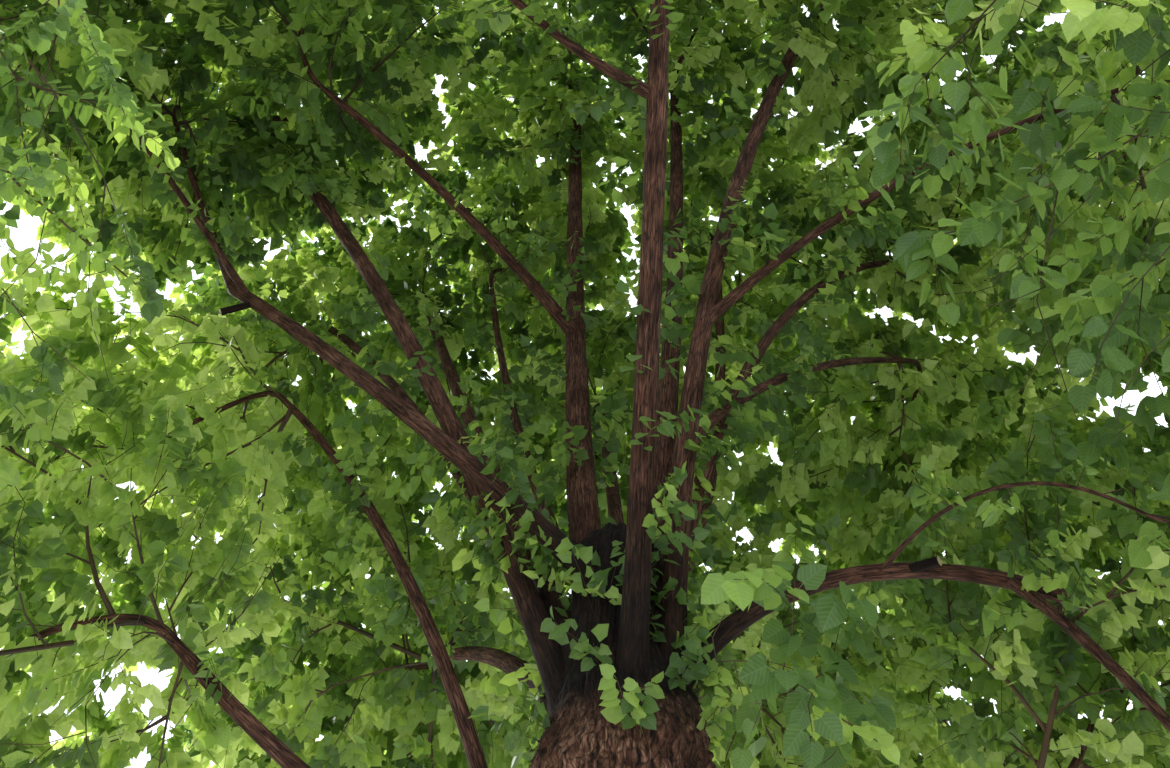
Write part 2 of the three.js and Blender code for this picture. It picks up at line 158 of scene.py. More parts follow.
SPROUTS = [
    dict(name="sprouts_right", root=(325, 3.2), space=(0.62, -1.78, 2.8, 0.52)),
]
print(len(LIMBS), "limbs and", len(SPROUTS), "tufts of shoots on the head")

# %% [markdown]
# The heart line of a limb is walked in 40 even steps, as in the source. A limb is thicker at its foot,
# where wood has grown round the joint, and that swelling fades along it.

# %% Heart lines
HEART_STEPS = 40
FOOT_SWELLING, FOOT_FADE = 0.42, 0.26


def heading(bearing, lean):
    """The way of a line that leans from upright towards a bearing, both in degrees."""
    side, tip = math.radians(bearing), math.radians(lean)
    return np.array([math.sin(tip) * math.cos(side), math.sin(tip) * math.sin(side), math.cos(tip)])


def heart_line(limb, start):
    line = [np.array(start, float)]
    for i in range(HEART_STEPS):
        share = (i + 0.5) / HEART_STEPS
        way = heading(limb["bearing"] + limb["turn"] * share, lerp(*limb["lean"], share))
        line.append(line[-1] + way * limb["length"] / HEART_STEPS)
    return np.array(line)


def limb_radius(limb, share):
    return lerp(*limb["radius"], share) * (1 + FOOT_SWELLING * np.exp(-share * limb["length"] / FOOT_FADE))


by_name = {limb["name"]: limb for limb in LIMBS}
for limb in LIMBS:
    if "on" in limb:
        carrier, share = limb["on"]
        start = by_name[carrier]["line"][round(share * HEART_STEPS)]
    else:
        side, out, height = limb["seat"]
        start = [math.cos(math.radians(side)) * out, math.sin(math.radians(side)) * out, height]
    limb["line"] = heart_line(limb, start)
print("the highest limb ends at", round(max(limb["line"][-1][2] for limb in LIMBS), 2), "m")

# %% [markdown]
# Inside the crown a bough goes on as the stem of its mass of foliage: it bends from its own way towards the
# middle of the space it fills. The source does that with three straight stretches. Here their corners are
# cut three times, which gives a smooth line through the same places.

# %% Masses of foliage and their stems
# No foliage hangs below the skirt. The seeds of the masses lie a golden share apart.
SKIRT = 2.05
SEED_STEP = 0.38196601
STEM_FIRST_SHARE, STEM_KNEE_SHARE, STEM_SHARE, STEM_END_PULL = 0.25, 0.45, 0.62, 0.3
STEM_END_RADIUS, STEM_END_TAPER = 0.018, 0.6
STEM_TAPER = 0.55
CORNER_CUT = 0.25
SPROUT_SEAT, SPROUT_RISE, SPROUT_RADIUS = 0.3, 0.3, 0.02
LYING = 90


def corners_cut(points, rounds=3):
    """Cuts the corners of a line of points, which keeps its two ends."""
    for _ in range(rounds):
        a, b = points[:-1], points[1:]
        cut = np.stack([lerp(a, b, CORNER_CUT), lerp(a, b, 1 - CORNER_CUT)], axis=1).reshape(-1, 3)
        points = np.vstack([points[:1], cut, points[-1:]])
    return points


def stem_end(mass):
    """The radius at the end of a mass's stem."""
    return min(STEM_END_RADIUS, STEM_END_TAPER * mass["thick"])


def stem_line(root, way, centre):
    span = centre - root
    bend = root + way * np.linalg.norm(span) * STEM_FIRST_SHARE
    knee = lerp(bend, centre, STEM_KNEE_SHARE)
    end = lerp(root + span * STEM_SHARE, centre, STEM_END_PULL)
    return corners_cut(np.array([root, bend, knee, end]))


masses = []
for limb in (each for each in LIMBS if "space" in each):
    way = unit(limb["line"][-1] - limb["line"][-2])
    masses.append(dict(name=limb["name"], node="foliage_" + limb["name"], limb=limb, root=limb["line"][-1],
                       way=way, space=limb["space"], thick=limb["radius"][1]))
for tuft in SPROUTS:
    side, height = tuft["root"]
    out = heading(side, LYING)
    masses.append(dict(name=tuft["name"], node=tuft["name"], limb=None, space=tuft["space"],
                       root=out * SPROUT_SEAT + [0, 0, height], way=unit(out + [0, 0, SPROUT_RISE]),
                       thick=SPROUT_RADIUS))
for number, mass in enumerate(masses, 1):
    mass["centre"], mass["reach"] = np.array(mass["space"][:3]), mass["space"][3]
    mass["seed"] = number * SEED_STEP
    mass["stem"] = stem_line(mass["root"], mass["way"], mass["centre"])
centres = np.array([mass["centre"] for mass in masses])
reaches = np.array([mass["reach"] for mass in masses])
print(len(masses), "masses of foliage")

# %% [markdown]
# The trunk has a root flare with six buttresses and, at the height where the tree was once pollarded, a
# head of burrs. Its radius is the plain radius of the source's rings, run through smoothly, plus those two.
# Smooth means a curve that meets each ring with the slope of its neighbours.

# %% Trunk profile
# Each ring is a height and the plain radius there.
TRUNK_RINGS = np.array([
    [0, 0.545], [0.13, 0.51], [0.32, 0.475], [0.65, 0.452], [1.15, 0.436], [1.75, 0.426], [2.25, 0.436],
    [2.6, 0.46], [2.82, 0.455], [3.0, 0.418], [3.14, 0.36], [3.3, 0.302], [3.5, 0.262], [3.74, 0.245],
    [3.98, 0.23], [4.15, 0.19], [4.23, 0.11]])
TRUNK_LEAN, LEAN_HEIGHT = 0.11, 3.0
BUTTRESSES = (18, 74, 139, 202, 258, 316)
BUTTRESS_REACH, BUTTRESS_SPREAD, BUTTRESS_FADE = 0.135, 17, 0.27
# Each burr is a bearing, a height and how far it stands out.
BURRS = [(208, 2.64, 0.076), (240, 2.8, 0.06), (300, 2.96, 0.072), (345, 3.18, 0.066), (350, 2.7, 0.024),
         (22, 2.86, 0.034), (68, 2.69, 0.06), (118, 2.86, 0.052), (162, 2.72, 0.054), (276, 2.44, 0.04),
         (30, 2.4, 0.03)]
BURR_SIZE = 0.19
BREAST_HEIGHT = 1.3
FULL_TURN, HALF_TURN = 360, 180


def smooth_radius(height):
    """The plain radius of the trunk at a height."""
    levels, radii = TRUNK_RINGS.T
    slopes = np.gradient(radii, levels)
    i = int(np.clip(np.searchsorted(levels, height) - 1, 0, len(levels) - 2))
    step = levels[i + 1] - levels[i]
    s = (height - levels[i]) / step
    return ((2 * s ** 3 - 3 * s ** 2 + 1) * radii[i] + (s ** 3 - 2 * s ** 2 + s) * step * slopes[i]
            + (3 * s ** 2 - 2 * s ** 3) * radii[i + 1] + (s ** 3 - s ** 2) * step * slopes[i + 1])


def turn_between(a, b):
    """The turn from bearing b to bearing a, by the shorter way round."""
    return (a - b + FULL_TURN + HALF_TURN) % FULL_TURN - HALF_TURN


def trunk_radius(bearing, height, plain):
    """The distance from the heart of the trunk to its bark, towards a bearing in degrees."""
    fade = BUTTRESS_REACH * math.exp(-height / BUTTRESS_FADE)
    flare = sum(fade * math.exp(-(turn_between(bearing, foot) / BUTTRESS_SPREAD) ** 2)
                for foot in BUTTRESSES)
    burred = 0
    for side, level, rise in BURRS:
        round_way = math.radians(turn_between(bearing, side)) * plain
        burred += rise * math.exp(-(round_way ** 2 + (height - level) ** 2) / BURR_SIZE ** 2)
    return plain + flare + burred


def trunk_heart(height):
    return np.array([-TRUNK_LEAN * max(0, 1 - height / LEAN_HEIGHT) ** 2, 0, height])


print("the trunk is", round(2 * smooth_radius(BREAST_HEIGHT), 2), "m through at breast height")

# %% [markdown]
# Bark is a skin that splits as the wood under it grows. On a linden it breaks into long ridges that part
# and meet again. A bump in the material would be lost at the outline, so the main furrows are real relief.
# A grid is made with create_grid, rolled round the limb, and each point is moved out or in by noise. That
# noise is read at the point's place on a limb that stands straight, so the ridges follow the limb round its
# bends. The same place is kept as an attribute, for the bark's colours.

# %% Rolling a sheet of bark round a line
UP = np.array([0, 0, 1.0])
TO_THE_RIGHT = np.array([1.0, 0, 0])
NEARLY_UPRIGHT = 0.8
DOUBLES_APART = TINY = 1e-6


def frames_along(points):
    """The way of a line at each point, and two directions across it that don't twist."""
    ways = unit(np.gradient(points, axis=0))
    side = UP if abs(ways[0][2]) < NEARLY_UPRIGHT else TO_THE_RIGHT
    across = []
    for way in ways:
        side = unit(side - way * side.dot(way))
        across.append(side)
    across = np.array(across)
    return ways, across, np.cross(ways, across)


def lengths_along(points):
    """How far along a line of points each of them is."""
    return np.concatenate([[0], np.cumsum(np.linalg.norm(np.diff(points, axis=0), axis=1))])


def roll_bark(sheet, points, radius_at, around, relief, level=False, unrolled=None):
    """Adds a closed tube of bark to a bmesh, and returns the faces that close its ends. The radius is a
    function of the angle and the ring, the relief one of the place on the straightened limb and of the way
    along it. Unrolled holds, for a line that bulges much, an even radius and the way along the skin to each
    ring."""
    _, across, up = frames_along(points)
    if level:
        across[:], up[:] = (1, 0, 0), (0, 1, 0)
    lengths = lengths_along(points)
    last = len(points) - 1
    layers = sheet.verts.layers.float_vector
    straight = layers.get("straight") or layers.new("straight")
    grid = bmesh.ops.create_grid(sheet, x_segments=around, y_segments=last, size=0.5)["verts"]
    for vert in grid:
        angle = 2 * math.pi * (vert.co.x + 0.5)
        ring = round((vert.co.y + 0.5) * last)
        cos, sin = math.cos(angle), math.sin(angle)
        radius = radius_at(angle, ring)
        even, along = unrolled[ring] if unrolled else (radius, lengths[ring])
        upright = Vector((even * cos, even * sin, along))
        out = radius + relief(upright, lengths[ring])
        vert[straight] = upright
        vert.co = Vector(points[ring] + (across[ring] * cos + up[ring] * sin) * out)
    bmesh.ops.remove_doubles(sheet, verts=grid, dist=DOUBLES_APART)
    rims = [edge for edge in sheet.edges if edge.is_boundary]
    return bmesh.ops.holes_fill(sheet, edges=rims, sides=0)["faces"]


def finished_mesh(name, sheet):
    """Turns a bmesh into an object at the origin, with its faces outwards."""
    bmesh.ops.recalc_face_normals(sheet, faces=sheet.faces)
    for face in sheet.faces:
        face.smooth = True
    mesh = bpy.data.meshes.new(name)
    sheet.to_mesh(mesh)
    sheet.free()
    made = bpy.data.objects.new(name, mesh)
    bpy.context.scene.collection.objects.link(made)
    return made


# %% [markdown]
# The trunk's ridges are 40 mm apart and up to 26 mm deep, and each runs on for a hand's length or two. They
# follow the skin over the bulge of the head, where knobs come through them and the bark breaks into short
# scales. Ridged noise, which is one minus the size of plain noise, gives crests with furrows between them,
# and a second noise moves the first about so that the ridges wander and meet. Above the head the feet of
# the boughs stand out of the neck, with deep folds between them, and a hollow and a crease part the head's
# left burr from its right one.

# %% Trunk
TRUNK_AROUND, TRUNK_UP = 280, 240
EVEN_RADIUS = 0.44
RIDGE_SPACING, RIDGE_LENGTH, RIDGE_DEPTH = 0.04, 0.26, 0.026
KNOB_SIZE, KNOB_DEPTH = 0.085, 0.045
SCALE_SPACING, SCALE_LENGTH, SCALE_DEPTH = 0.017, 0.036, 0.009
HEAD_LEVEL, HEAD_SPREAD = 2.76, 0.36
FOLD_DEPTH, FOLD_SPREAD, FOLD_FOOT, FOLD_RISE = 0.05, 14, 3.1, 0.4
# Each hollow is a bearing, a height, a spread in degrees, a spread in metres and a depth.
HOLLOWS = [(244, 3.08, 20, 0.13, 0.07), (263, 2.86, 6, 0.22, 0.05)]
WANDER_PITCH, WANDER = 0.35, 0.7
SMALL_KNOBS, SMALL_KNOB_PITCH = 0.5, 2.3
# The share of a crest's height at which the plain skin lies, how much of the ridges the head loses, and how
# much of the scales shows away from it.
SKIN_SHARE, RIDGES_LOST, SCALES_BELOW = 0.6, 0.55, 0.3


def ridges(place, spacing, length):
    """Crests at 1 and furrows near 0, drawn out along the limb."""
    wander = noise.noise(place * (WANDER_PITCH / spacing)) * WANDER
    x, y, z = place
    drawn_out = Vector((x / spacing + wander, y / spacing - wander, z / length + wander))
    return 1 - 2 * abs(noise.noise(drawn_out))


def trunk_relief(place, height):
    burred = math.exp(-((height - HEAD_LEVEL) / HEAD_SPREAD) ** 2)
    small_knobs = SMALL_KNOBS * noise.noise(place * (SMALL_KNOB_PITCH / KNOB_SIZE))
    knobs = noise.noise(place / KNOB_SIZE) + small_knobs
    scales = ridges(place, SCALE_SPACING, SCALE_LENGTH) - SKIN_SHARE
    furrows = ridges(place, RIDGE_SPACING, RIDGE_LENGTH) - SKIN_SHARE
    return (RIDGE_DEPTH * (1 - RIDGES_LOST * burred) * furrows + KNOB_DEPTH * burred * knobs
            + SCALE_DEPTH * (SCALES_BELOW + burred) * scales)


def folds(bearing, height):
    """How far the neck stands out at the feet of the boughs and falls back between them."""
    grown = min(1, max(0, (height - FOLD_FOOT) / FOLD_RISE))
    seats = [limb["seat"] for limb in LIMBS if "seat" in limb]
    feet = [turn_between(bearing, side) for side, _, level in seats if level > FOLD_FOOT]
    crest = max(math.exp(-(turn / FOLD_SPREAD) ** 2) for turn in feet)
    return FOLD_DEPTH * grown * (crest - SKIN_SHARE)


def hollows(bearing, height):
    """The depth of the hollow over the left burr and of the crease beside it."""
    return sum(depth * math.exp(-(turn_between(bearing, side) / wide) ** 2 - ((height - level) / tall) ** 2)
               for side, level, wide, tall, depth in HOLLOWS)


def bark_of_trunk(angle, ring):
    bearing, height = math.degrees(angle), levels[ring]
    return trunk_radius(bearing, height, plain[ring]) + folds(bearing, height) - hollows(bearing, height)


top = TRUNK_RINGS[-1][0]
levels = np.linspace(0, top, TRUNK_UP + 1)
plain = [smooth_radius(level) for level in levels]
trunk_line = np.array([trunk_heart(level) for level in levels])
sheet = bmesh.new()
skin_steps = np.hypot(np.diff(levels), np.diff(plain))
skin_way = np.concatenate([[0], np.cumsum(skin_steps)])
roll_bark(sheet, trunk_line, bark_of_trunk, TRUNK_AROUND, trunk_relief, level=True,
          unrolled=[(EVEN_RADIUS, way) for way in skin_way])
trunk_bark = finished_mesh("bark_of_trunk", sheet)
print("trunk:", len(trunk_bark.data.polygons), "faces")

# %% [markdown]
# A bough's bark is younger: the ridges are finer and shallower, and the limb itself is uneven, with slow
# swellings where side shoots once were. Each bough runs on into the foliage as its stem, so the two are one
# mesh. One limb was sawn off on the right, and two short stubs are left where small limbs were cut.

# %% Boughs
BOUGH_AROUND = 40
BOUGH_STEP = 0.035
BOUGH_RIDGE, BOUGH_RIDGE_LENGTH, BOUGH_DEPTH, BOUGH_SKIN_SHARE = 0.02, 0.16, 0.05, 0.5
SWELLING_LENGTH, SWELLING = 0.33, 0.07
SAWN_LIMB = "right_sawn"
SAWN_END_SIZE = 0.05
STUB_STEP, STUB_AROUND = 0.02, 20
STUBS = [
    dict(on="right_sawn", share=0.62, bearing=320, lean=92, length=0.22, radius=0.03),
    dict(on="left_long", share=0.93, bearing=200, lean=125, length=0.28, radius=0.028),
]


def evenly(points, step):
    """The same line with points an even step apart, and how far along it each is."""
    lengths = lengths_along(points)
    count = max(4, round(lengths[-1] / step))
    places = np.linspace(0, lengths[-1], count + 1)
    return np.stack([np.interp(places, lengths, points[:, k]) for k in range(3)], axis=1), places


def bough_bark(sheet, points, radii, around=BOUGH_AROUND):
    middle = float(np.mean(radii))

    def relief(place, along):
        furrows = ridges(place, BOUGH_RIDGE, BOUGH_RIDGE_LENGTH) - BOUGH_SKIN_SHARE
        swelling = noise.noise(place / SWELLING_LENGTH + Vector(points[0]))
        return middle * (BOUGH_DEPTH * furrows + SWELLING * swelling)

    return roll_bark(sheet, points, lambda angle, ring: radii[ring], around, relief)


boughs = {}
sawn_faces = {}
for limb in LIMBS:
    line = limb["line"]
    shares = np.linspace(0, 1, len(line))
    radii = limb_radius(limb, shares)
    mass = next((each for each in masses if each["limb"] is limb), None)
    if mass:
        stem = mass["stem"][1:]
        line = np.vstack([line, stem])
        shares = np.linspace(0, 1, len(stem) + 1)[1:] ** STEM_TAPER
        radii = np.concatenate([radii, lerp(limb["radius"][1], stem_end(mass), shares)])
    points, places = evenly(line, BOUGH_STEP)
    sheet = bmesh.new()
    closing = bough_bark(sheet, points, np.interp(places, lengths_along(line), radii))
    middles = [face.calc_center_median().copy() for face in closing] if limb["name"] == SAWN_LIMB else []
    ends = [middle for middle in middles if (middle - Vector(line[-1])).length < SAWN_END_SIZE]
    for stub in (each for each in STUBS if each["on"] == limb["name"]):
        root = limb["line"][round(stub["share"] * HEART_STEPS)]
        stub_line = np.array([root, root + heading(stub["bearing"], stub["lean"]) * stub["length"]])
        stub_points, _ = evenly(stub_line, STUB_STEP)
        tips = bough_bark(sheet, stub_points, np.full(len(stub_points), stub["radius"]), STUB_AROUND)
        ends += [face.calc_center_median().copy() for face in tips]
    boughs[limb["name"]] = finished_mesh("bark_of_" + limb["name"], sheet)
    sawn_faces[limb["name"]] = ends
print("boughs:", sum(len(each.data.polygons) for each in boughs.values()), "faces")

# %% [markdown]
# A mass of foliage keeps to its own space: within reach of its centre, above the skirt, and on its own side
# of every neighbour, where the powers of the point are equal. Even points are spread through it by a row
# that never bunches, and a twig grows to each from the bud that is near it and has a short way back to the
# root. The first points of the row are the source's own, so its branchlets come first. Carried on 40 to 100
# times as far, the same row gives the fine twigs that bear the leaves.

# %% Room to grow
# The steps of the row along X, Y and Z: the first, second and third power of the evenest step in space.
EVEN_STEPS = np.array([0.8191725134, 0.6710436067, 0.5497004779])
POINTS_PER_CUBIC_METRE = 24
POINTS_PER_CUBIC_METRE_OF_TUFT = 40
LARGEST_TUFT = 1.2
TARGET_MARGIN, TARGET_CLEARANCE = 0.05, 0.08
WAY_BACK_WEIGHT = 0.4
SHORTEST_TWIG, LONGEST_TWIG = 0.12, 10
BUD_SPACING = 0.11
LIMB_CLEARANCE = 0.015
LIMBS_LOOKED_AT = 0.4
TRUNK_EVERY, TRUNK_MARGIN = 8, 0.05


def in_space(number, points, margin):
    """Which of these points lie in a mass's space, and inside the solids' box."""
    own = np.sum((points - centres[number]) ** 2, axis=1) - reaches[number] ** 2
    theirs = np.sum((points[:, None] - centres[None]) ** 2, axis=2) - reaches[None] ** 2
    apart = 2 * margin * np.linalg.norm(centres - centres[number], axis=1)
    beside = theirs - own[:, None] > apart
    beside[:, number] = True
    near = np.linalg.norm(points - centres[number], axis=1) < reaches[number] - margin
    boxed = np.all((points > np.array(cad_low) + margin) & (points < np.array(cad_high) - margin), axis=1)
    return near & boxed & (points[:, 2] > SKIRT + margin) & beside.all(axis=1)


trunk_points = np.array([trunk_heart(height) for height in levels[::TRUNK_EVERY]])
limb_points = np.vstack([limb["line"] for limb in LIMBS] + [trunk_points])
limb_reaches = np.concatenate([limb_radius(limb, np.linspace(0, 1, HEART_STEPS + 1)) for limb in LIMBS]
                              + [np.array(plain[::TRUNK_EVERY]) + TRUNK_MARGIN])
print(len(limb_points), "points of limbs and trunk to keep clear of")


def limbs_near(mass):
    """Which points of the limbs are close enough to a mass to matter to it."""
    return np.linalg.norm(limb_points - mass["centre"], axis=1) < mass["reach"] + LIMBS_LOOKED_AT


def clear_of_limbs(points, near, clearance):
    """Which of these points are clear of the limbs, of which near are those within reach."""
    away = np.linalg.norm(points[:, None] - limb_points[near][None], axis=2) - limb_reaches[near]
    return away.min(axis=1) > clearance if near.any() else np.ones(len(points), bool)


def along_arch(start, bow, end, share):
    """The point at a share of the way along a twig, which sets off towards its bow and bends to its end."""
    return (1 - share) ** 2 * start + 2 * share * (1 - share) * bow + share ** 2 * end


# %% [markdown]
# One twig is an arch from its bud to its point. It sets off partly in the way of the wood that bears it,
# which is what makes a branching look grown, and then bends over. Each new twig brings new buds along
# itself, and notes which twig bears it, so that the wood can be thickened afterwards by what it carries.

# %% Growing one mass
ARCH, ARCH_LIFT, ARCH_FOLLOWS = 0.42, 0.07, 0.6
ARCH_LOOKED_AT = np.linspace(0.25, 1, 4)[:, None]
BUDS_PER_TWIG = 12
NO_BUD = 1e6


def grow(number, mass):
    """Gives the starts, bows, ends and bearers of the twigs of one mass."""
    reach = mass["reach"]
    density = POINTS_PER_CUBIC_METRE if reach > LARGEST_TUFT else POINTS_PER_CUBIC_METRE_OF_TUFT
    count = round(density * (2 * reach) ** 3)
    steps = np.arange(1, count + 1)[:, None]
    targets = mass["centre"] + reach * (2 * ((mass["seed"] + EVEN_STEPS * steps) % 1) - 1)
    near = limbs_near(mass)
    targets = targets[in_space(number, targets, TARGET_MARGIN)]
    targets = targets[clear_of_limbs(targets, near, TARGET_CLEARANCE)]
    stem, _ = evenly(mass["stem"], BUD_SPACING)
    lengths = np.arange(len(stem)) * np.linalg.norm(stem[1] - stem[0])
    room = len(stem) + len(targets) * BUDS_PER_TWIG
    place, way = np.full((room, 3), NO_BUD), np.zeros((room, 3))
    back, bearer = np.zeros(room), np.full(room, -1)
    place[:len(stem)], back[:len(stem)] = stem, lengths
    way[:len(stem)] = unit(np.gradient(stem, axis=0))
    used = len(stem)
    starts, bows, ends, bearers = [], [], [], []
    for target in targets:
        away = np.linalg.norm(place[:used] - target, axis=1)
        bud = int(np.argmin(away + WAY_BACK_WEIGHT * back[:used]))
        start, span = place[bud].copy(), away[bud]
        if span < SHORTEST_TWIG or span > LONGEST_TWIG:
            continue
        set_off = unit(target - start) + ARCH_FOLLOWS * way[bud]
        bow = start + set_off * span * ARCH + [0, 0, ARCH_LIFT * span]
        if not clear_of_limbs(along_arch(start, bow, target, ARCH_LOOKED_AT), near, LIMB_CLEARANCE).all():
            continue
        buds = max(1, int(span / BUD_SPACING))
        shares = (np.arange(1, buds + 1) / buds)[:, None]
        new = slice(used, used + buds)
        place[new] = along_arch(start, bow, target, shares)
        way[new] = unit(lerp(bow - start, target - bow, shares))
        back[new] = back[bud] + span * shares[:, 0]
        bearer[new] = len(starts)
        used += buds
        starts.append(start)
        bows.append(bow)
        ends.append(target)
        bearers.append(bearer[bud])
        place[bud] = NO_BUD
    return np.array(starts), np.array(bows), np.array(ends), np.array(bearers)


for number, mass in enumerate(masses):
    mass["start"], mass["bow"], mass["end"], mass["bearer"] = grow(number, mass)
    carried = np.ones(len(mass["start"]))
    for twig in range(len(carried) - 1, -1, -1):
        if mass["bearer"][twig] >= 0:
            carried[mass["bearer"][twig]] += carried[twig]
    mass["carried"] = carried
print("twigs in the masses:", [len(mass["start"]) for mass in masses])

# %% [markdown]
# Lindens send out small leafy shoots from old wood too, on the burred head, on the neck and along the
# boughs. They are short arches that leave the bark at bearings a golden angle apart and lean out from the
# limb.

# %% Shoots on old wood
GOLDEN_ANGLE = 137.5
SHOOTS_EVERY = 0.3
SHOOT_LENGTH = (0.12, 0.36)
SHOOTS_TOGETHER = (1, 4)
SHOOT_SHARES = (0.03, 0.97)
SHOOT_DEPTH, SHOOT_FORWARD = 0.9, 0.5
HEAD_SHOOTS = 36
HEAD_SHOOT_HEIGHTS = (2.9, 4.0)
HEAD_SHOOT_DEPTH, HEAD_SHOOT_LIFT = 0.02, 0.5
FOOT_JITTER, TIP_JITTER, TIP_LIFT = 0.25, 0.35, 0.3
FOOT_STRETCH, TIP_STRETCH = 0.6, 0.5


def shoots_from(roots, ways):
    """The starts, bows and ends of a lot of single twigs that stand on old wood."""
    long = chance.uniform(*SHOOT_LENGTH, len(roots))[:, None]
    ways = unit(ways + chance.normal(0, FOOT_JITTER, ways.shape))
    bow = roots + ways * long * FOOT_STRETCH
    onward = unit(ways + [0, 0, TIP_LIFT] + chance.normal(0, TIP_JITTER, ways.shape))
    return roots, bow, bow + onward * long * TIP_STRETCH


roots, ways = [], []
for limb in LIMBS:
    line = limb["line"]
    for i in range(int(limb["length"] / SHOOTS_EVERY)):
        share = chance.uniform(*SHOOT_SHARES)
        step = min(HEART_STEPS - 1, int(share * HEART_STEPS))
        way = unit(line[step + 1] - line[step])
        out = heading(GOLDEN_ANGLE * i + limb["bearing"], LYING)
        out = unit(out - way * out.dot(way))
        for _ in range(int(chance.integers(*SHOOTS_TOGETHER))):
            roots.append(line[step] + out * limb_radius(limb, share) * SHOOT_DEPTH)
            ways.append(unit(out + SHOOT_FORWARD * way))
for i in range(HEAD_SHOOTS):
    height = chance.uniform(*HEAD_SHOOT_HEIGHTS)
    bearing = GOLDEN_ANGLE * i
    out = heading(bearing, LYING)
    reach = trunk_radius(bearing, height, smooth_radius(height)) - HEAD_SHOOT_DEPTH
    for _ in range(int(chance.integers(*SHOOTS_TOGETHER))):
        roots.append(trunk_heart(height) + out * reach)
        ways.append(unit(out + [0, 0, HEAD_SHOOT_LIFT]))
start, bow, end = shoots_from(np.array(roots), np.array(ways))
old_wood = dict(name="old_wood", node=None, start=start, bow=bow, end=end, carried=np.ones(len(start)),
                seed=SEED_STEP, bearer=np.full(len(start), -1))
print(len(start), "shoots on old wood")

# %% [markdown]
# Thousands of twigs are too many for one operator call each, so they are made as arrays: one ring pattern
# is placed along all the arches at once and joined into one mesh. The wood is thickened by what it carries,
# as in a real tree, where the pipes of all the twigs run down through the branch.

# %% Twigs as joined tubes
TWIG_TIP, TWIG_FOOT, TWIG_TAPER = 0.0016, 0.0022, 0.25
PIPE_POWER = 0.5
FOOT_IN_BEARER = 0.85
SHORTEST_STEM = 0.1
THICK_FROM = 7
FAR_TWIG = 6.5
ZIGZAG = 0.007
ASKEW = np.array([0.31, 0.17, 0.93])
# The rings and the sides of a thick twig, of a near one and of a far one.
THICK_TUBE, NEAR_TUBE, FAR_TUBE = (5, 4), (3, 3), (2, 3)


def joined_mesh(name, points, faces, smooth=True):
    """One mesh object from an array of points and an array of triangles."""
    mesh = bpy.data.meshes.new(name)
    mesh.vertices.add(len(points))
    mesh.vertices.foreach_set("co", points.astype(np.float32).ravel())
    mesh.loops.add(faces.size)
    mesh.loops.foreach_set("vertex_index", faces.astype(np.int32).ravel())
    mesh.polygons.add(len(faces))
    mesh.polygons.foreach_set("loop_start", np.arange(0, faces.size, 3, dtype=np.int32))
    mesh.polygons.foreach_set("use_smooth", np.full(len(faces), smooth))
    mesh.update(calc_edges=True)
    made = bpy.data.objects.new(name, mesh)
    bpy.context.scene.collection.objects.link(made)
    return made


def tube_faces(rings, sides):
    """The triangles of one closed tube."""
    faces = []
    for ring in range(rings - 1):
        for side in range(sides):
            a, b = ring * sides + side, ring * sides + (side + 1) % sides
            faces += [(a, b, b + sides), (a, b + sides, a + sides)]
    far = (rings - 1) * sides
    for side in range(1, sides - 1):
        faces += [(0, side + 1, side), (far, far + side, far + side + 1)]
    return np.array(faces)


def tubes(start, bow, end, foot, tip, rings, sides):
    """Points and triangles of many twigs at once."""
    shares = np.linspace(0, 1, rings)[None, :, None]
    centre = along_arch(start[:, None], bow[:, None], end[:, None], shares)
    way = unit((bow - start)[:, None] * (1 - shares) + (end - bow)[:, None] * shares)
    aside = unit(np.cross(way, ASKEW))
    above = np.cross(way, aside)
    zigzag = np.array([0, 1, -1, 1, 0])[:rings] * ZIGZAG
    zigzag[-1] = 0
    centre = centre + aside * zigzag[None, :, None]
    radius = lerp(foot[:, None], tip[:, None], np.linspace(0, 1, rings)[None])[:, :, None, None]
    angle = np.arange(sides) * 2 * math.pi / sides
    across, over = np.cos(angle)[None, None, :, None], np.sin(angle)[None, None, :, None]
    circle = aside[:, :, None] * across + above[:, :, None] * over
    points = (centre[:, :, None] + circle * radius).reshape(-1, 3)
    faces = tube_faces(rings, sides)[None] + (np.arange(len(start)) * rings * sides)[:, None, None]
    return points, faces.reshape(-1, 3)


def merged(parts):
    """Joins several lots of points and triangles into one."""
    points, faces, before = [], [], 0
    for some_points, some_faces in parts:
        points.append(some_points)
        faces.append(some_faces + before)
        before += len(some_points)
    return np.vstack(points), np.vstack(faces)


def foot_radii(mass):
    """The radius of each twig at its foot, never more than what bears it."""
    foot = TWIG_FOOT * mass["carried"] ** PIPE_POWER
    if mass["node"]:
        on_stem = mass["bearer"] < 0
        along = np.linalg.norm(mass["start"] - mass["root"], axis=1)
        share = np.clip(along / max(along[on_stem].max(), SHORTEST_STEM), 0, 1)
        stem = lerp(mass["thick"], stem_end(mass), share ** STEM_TAPER)
        foot = np.where(on_stem, np.minimum(foot, stem * FOOT_IN_BEARER), foot)
    for twig, bearer in enumerate(mass["bearer"]):
        if bearer >= 0:
            foot[twig] = min(foot[twig], foot[bearer] * FOOT_IN_BEARER)
    return foot


lots = []
for mass in masses + [old_wood]:
    foot = foot_radii(mass)
    tip = np.minimum(np.maximum(TWIG_TIP, foot * TWIG_TAPER), foot)
    away = np.linalg.norm(mass["start"] - np.array(eye), axis=1)
    thick = mass["carried"] >= THICK_FROM
    far = ~thick & (away > FAR_TWIG)
    for some, tube in ((thick, THICK_TUBE), (~thick & ~far, NEAR_TUBE), (far, FAR_TUBE)):
        if some.any():
            arches = (mass[point][some] for point in ("start", "bow", "end"))
            lots.append(tubes(*arches, foot[some], tip[some], *tube))
half = len(lots) // 2
twig_pieces = [joined_mesh("twigs_of_front", *merged(lots[:half])),
               joined_mesh("twigs_of_rear", *merged(lots[half:]))]
print("twigs:", [len(piece.data.polygons) for piece in twig_pieces], "triangles")

